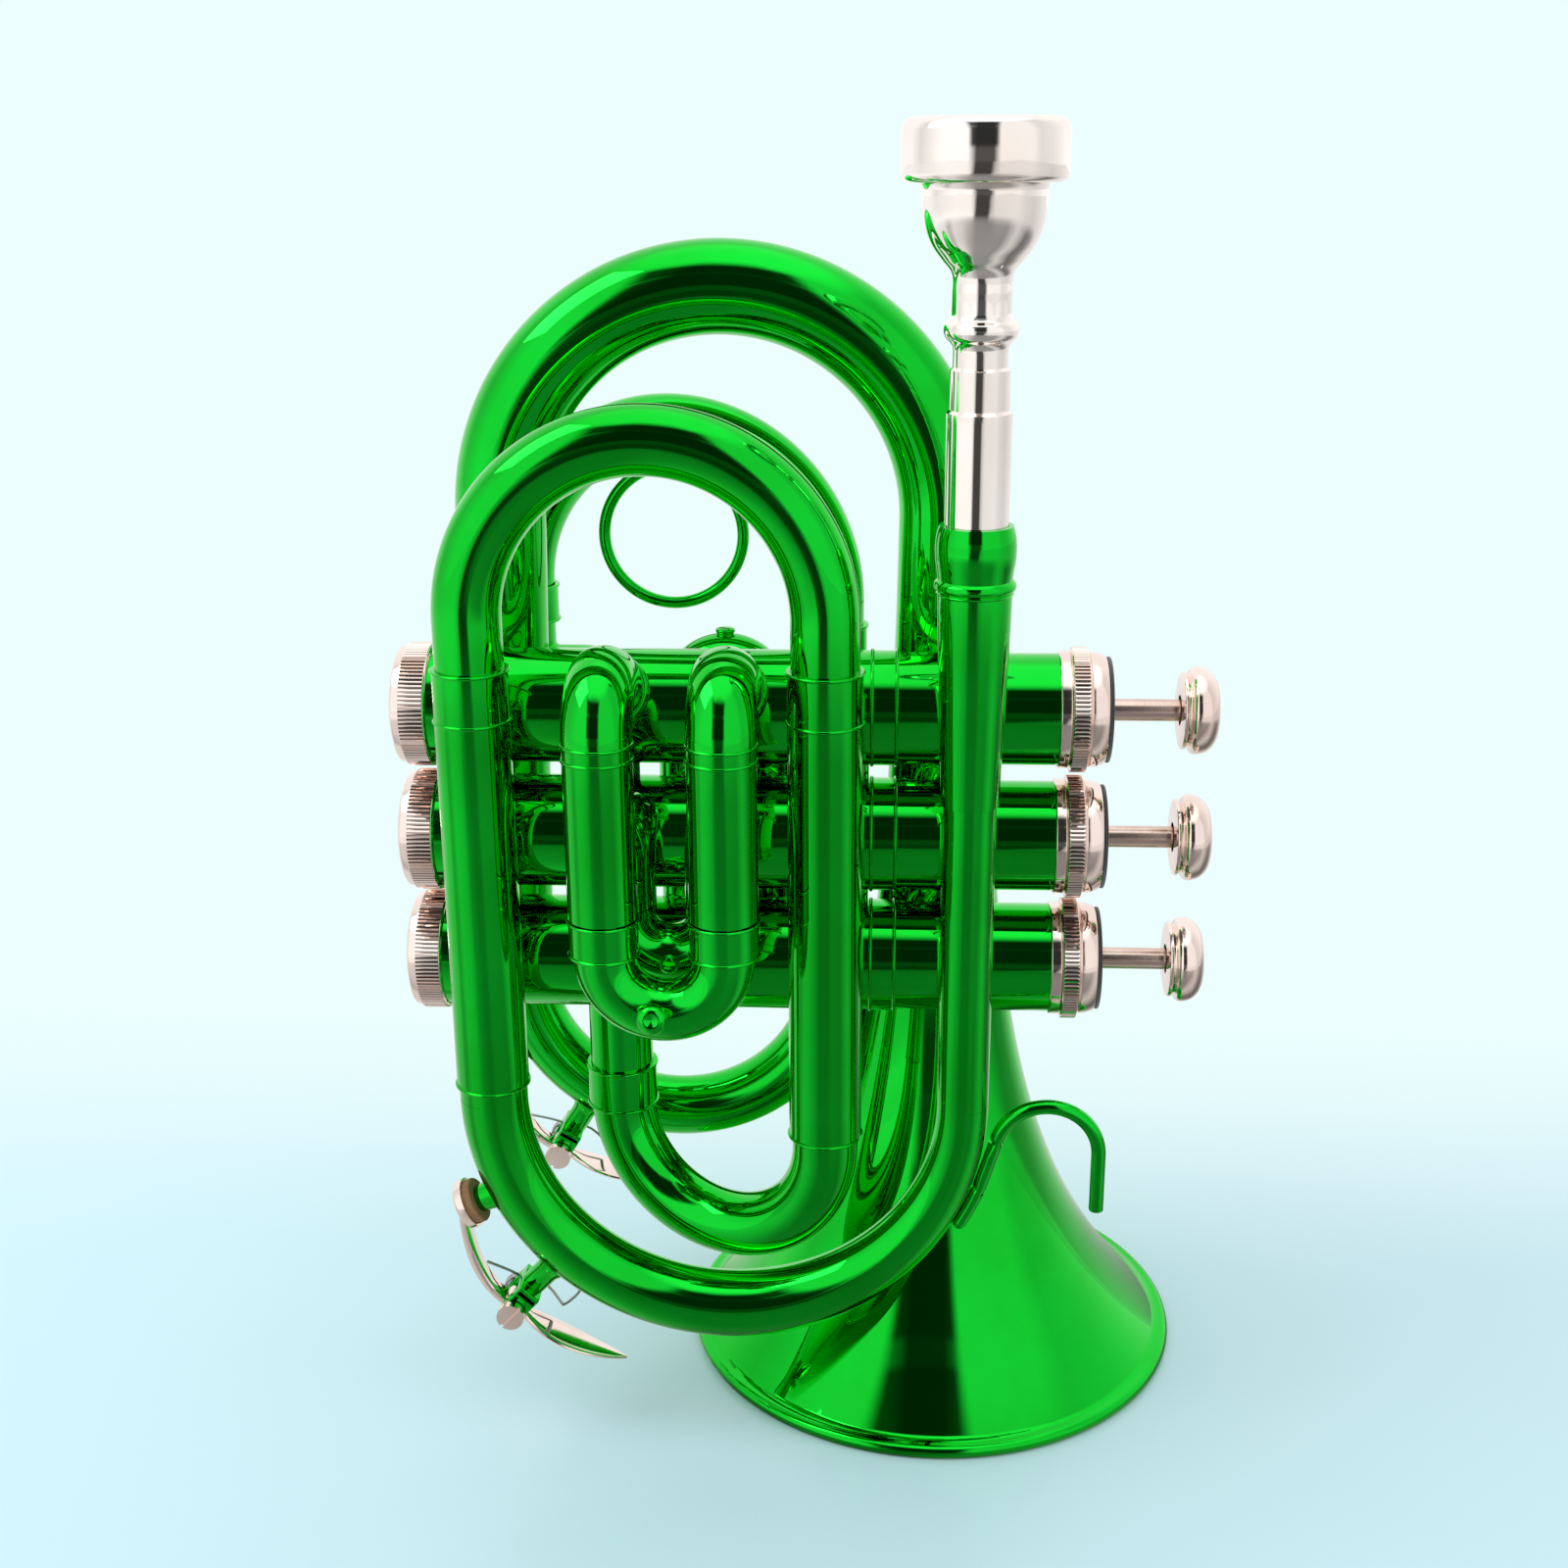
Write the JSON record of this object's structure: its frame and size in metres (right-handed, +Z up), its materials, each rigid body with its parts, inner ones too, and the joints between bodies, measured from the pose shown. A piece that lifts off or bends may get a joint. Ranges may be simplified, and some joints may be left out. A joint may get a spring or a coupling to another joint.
{
  "type": "pocket trumpet",
  "caption": "Compact three-valve trumpet with tightly wrapped tubing, standing on its bell, with slides, water keys, finger ring and removable mouthpiece.",
  "frame": {"origin": "the bell's axis on the plane of its rim, where the horn stands on a table", "axes": "+Z up along the bell's axis towards the mouthpiece, +X towards the finger buttons, +Y towards the back"},
  "size_m": [0.1503, 0.112, 0.2439],
  "materials": {
    "green_lacquer": "transparent green lacquer over polished brass, mirror gloss",
    "nickel_plate": "bright nickel plate",
    "silver_plate": "silver-plated brass, mirror gloss",
    "piston_metal": "fine ground monel metal",
    "felt": "black felt",
    "spring_steel": "drawn wire"
  },
  "bodies": {
    "horn_body": {"bell": "green_lacquer", "bell_bow": "green_lacquer", "bell_tail": "green_lacquer", "rear_bow": "green_lacquer", "rear_tube": "green_lacquer", "return_bow": "green_lacquer", "first_valve_link": "green_lacquer", "left_sleeve_tube": "green_lacquer", "front_bow": "green_lacquer", "front_tube": "green_lacquer", "lower_bow": "green_lacquer", "lower_bow_leg": "green_lacquer", "third_valve_inlet": "green_lacquer", "mouthpiece_receiver": "green_lacquer", "tube_ferrules": "green_lacquer", "body_braces": "green_lacquer", "finger_ring": "green_lacquer", "valve_casing_1": "green_lacquer", "valve_casing_2": "green_lacquer", "valve_casing_3": "green_lacquer", "valve_knuckles": "green_lacquer", "bottom_cap_1": "nickel_plate", "bottom_cap_2": "nickel_plate", "bottom_cap_3": "nickel_plate", "top_cap_1": "nickel_plate", "top_cap_2": "nickel_plate", "top_cap_3": "nickel_plate", "cap_felts": "felt", "first_slide_sleeves": "green_lacquer", "second_slide_sleeves": "green_lacquer", "third_slide_sleeves": "green_lacquer", "rear_key_saddle": "green_lacquer", "rear_key_screw": "nickel_plate", "valve_spring_1": "spring_steel", "valve_spring_2": "spring_steel", "valve_spring_3": "spring_steel"},
    "valve_1": {"piston_1": "piston_metal", "valve_stem_1": "nickel_plate", "finger_button_1": "nickel_plate"},
    "valve_2": {"piston_2": "piston_metal", "valve_stem_2": "nickel_plate", "finger_button_2": "nickel_plate"},
    "valve_3": {"piston_3": "piston_metal", "valve_stem_3": "nickel_plate", "finger_button_3": "nickel_plate"},
    "main_slide": {"main_bow": "green_lacquer", "main_bow_taper": "green_lacquer", "main_inner_leg": "green_lacquer", "leadpipe": "green_lacquer", "finger_hook": "green_lacquer", "main_key_saddle": "green_lacquer", "main_key_screw": "nickel_plate"},
    "first_slide": {"first_slide_crook": "green_lacquer"},
    "second_slide": {"second_slide_crook": "green_lacquer"},
    "third_slide": {"third_slide_crook": "green_lacquer"},
    "main_key": {"main_water_key": "nickel_plate"},
    "rear_key": {"rear_water_key": "nickel_plate"},
    "mouthpiece": {"mouthpiece": "silver_plate"}
  },
  "joints": [
    {"name": "valve_1_stroke", "type": "slide", "parent": "horn_body", "child": "valve_1", "axis": [-1, 0, 0], "range_m": [0, 0.0123], "stiffness_N_per_m": 180, "springref_m": -0.012, "deforming": ["valve_spring_1"]},
    {"name": "valve_2_stroke", "type": "slide", "parent": "horn_body", "child": "valve_2", "axis": [-1, 0, 0], "range_m": [0, 0.0123], "stiffness_N_per_m": 180, "springref_m": -0.012, "deforming": ["valve_spring_2"]},
    {"name": "valve_3_stroke", "type": "slide", "parent": "horn_body", "child": "valve_3", "axis": [-1, 0, 0], "range_m": [0, 0.0123], "stiffness_N_per_m": 180, "springref_m": -0.012, "deforming": ["valve_spring_3"]},
    {"name": "main_slide_pull", "type": "slide", "parent": "horn_body", "child": "main_slide", "axis": [0, 0, -1], "range_m": [0, 0.013]},
    {"name": "first_slide_pull", "type": "slide", "parent": "horn_body", "child": "first_slide", "axis": [0, 0, -1], "range_m": [0, 0.02]},
    {"name": "second_slide_pull", "type": "slide", "parent": "horn_body", "child": "second_slide", "axis": [0, 0, -1], "range_m": [0, 0.0055]},
    {"name": "third_slide_pull", "type": "slide", "parent": "horn_body", "child": "third_slide", "axis": [0, 0, 1], "range_m": [0, 0.02]},
    {"name": "mouthpiece_pull", "type": "slide", "parent": "horn_body", "child": "mouthpiece", "axis": [0, 0, 1], "range_m": [0, 0.024]},
    {"name": "main_key_press", "type": "hinge", "parent": "main_slide", "child": "main_key", "pos_m": [-0.08089, -0.04174, 0.02766], "axis": [0, -1, 0], "range_deg": [0, 12], "stiffness_Nm_per_rad": 0.05, "springref_deg": -20.05},
    {"name": "rear_key_press", "type": "hinge", "parent": "horn_body", "child": "rear_key", "pos_m": [-0.07817, 0, 0.03883], "axis": [0, -1, 0], "range_deg": [0, 12], "stiffness_Nm_per_rad": 0.05, "springref_deg": -20.05}
  ]
}
